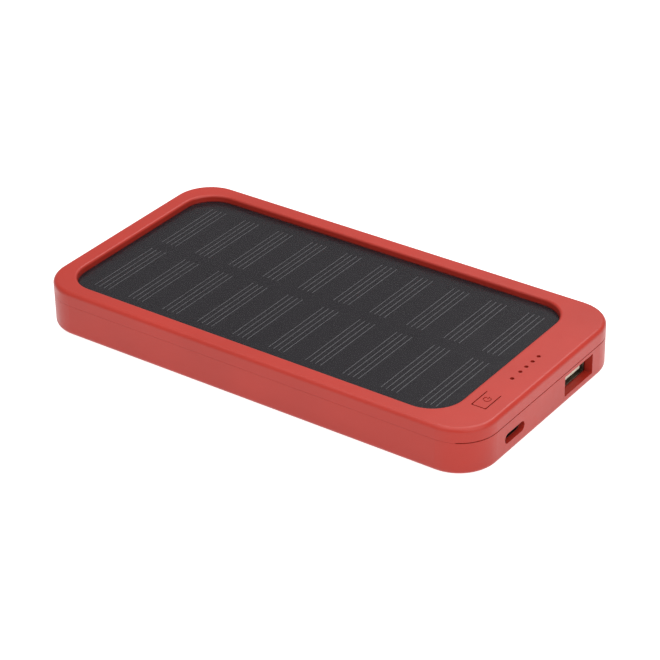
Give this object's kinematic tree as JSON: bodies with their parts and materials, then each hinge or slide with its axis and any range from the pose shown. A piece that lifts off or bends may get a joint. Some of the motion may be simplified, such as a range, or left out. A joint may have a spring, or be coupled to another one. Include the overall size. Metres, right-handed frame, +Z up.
{
  "type": "solar phone charger",
  "caption": "Flat rounded-rectangle solar power bank: recessed solar panel in a plastic case, wide outlet socket and small inlet socket in one end, status lights and push button.",
  "frame": {"origin": "centre of the flat underside", "axes": "+X along the case towards the end with the sockets, +Y across it towards the wide outlet socket's side, +Z up out of the solar panel"},
  "size_m": [0.138, 0.072, 0.0133],
  "materials": {
    "case_red": "fine satin moulding",
    "panel_clear": "satin laminate",
    "solar_cell": "satin",
    "panel_filler": "smooth",
    "panel_board": "satin",
    "foam_tape": "matte",
    "pouch_foil": "satin foil",
    "nickel": "satin",
    "board_green": "solder mask",
    "chip_black": "matte",
    "solder_tin": "satin",
    "amber_film": "gloss",
    "foam_grey": "matte",
    "wire_red": "satin",
    "wire_black": "satin",
    "socket_steel": "satin plated",
    "tongue_cream": "satin",
    "tongue_black": "satin",
    "contact_gold": "plated",
    "ferrite": "matte",
    "capacitor_tan": "satin",
    "resistor_black": "satin",
    "led_white": "gloss",
    "guide_clear": "smoked clear",
    "screw_steel": "plated"
  },
  "bodies": {
    "case": {"bottom_case": "case_red", "top_cover": "case_red", "panel_tray": "case_red", "panel_front_sheet": "panel_clear", "solar_cells": "solar_cell", "panel_encapsulant": "panel_filler", "panel_backing_board": "panel_board", "panel_tape": "foam_tape", "battery_cell": "pouch_foil", "cell_tabs": "nickel", "protection_board": "board_green", "protection_chip": "chip_black", "terminal_tape": "amber_film", "battery_pad": "foam_grey", "battery_foam": "foam_grey", "battery_lead_positive": "wire_red", "battery_lead_negative": "wire_black", "panel_lead_positive": "wire_red", "panel_lead_negative": "wire_black", "outlet_shell": "socket_steel", "outlet_tongue": "tongue_cream", "outlet_contacts": "contact_gold", "inlet_shell": "socket_steel", "inlet_tongue": "tongue_black", "inlet_contacts": "contact_gold", "main_board": "board_green", "power_inductor": "ferrite", "charger_chip": "chip_black", "controller_chip": "chip_black", "chip_pins": "solder_tin", "blocking_diode": "chip_black", "capacitors": "capacitor_tan", "resistors": "resistor_black", "status_leds": "led_white", "light_guide": "guide_clear", "switch_body": "chip_black", "switch_cover": "nickel", "board_screws": "screw_steel"},
    "power_button": {"power_button": "case_red"},
    "switch_plunger": {"switch_plunger": "chip_black"}
  },
  "joints": [
    {"name": "button_press", "type": "hinge", "parent": "case", "child": "power_button", "pos_m": [0.0623, -0.0158, 0.0133], "axis": [1, 0, 0], "range_deg": [0, 3], "stiffness_Nm_per_rad": 0.09},
    {"name": "plunger_travel", "type": "slide", "parent": "case", "child": "switch_plunger", "axis": [0, 0, -1], "range_m": [0, 0.00025], "stiffness_N_per_m": 4000}
  ],
  "couplings": [
    {"joint": "plunger_travel", "follows": "button_press", "m_per_rad": 0.0045}
  ]
}
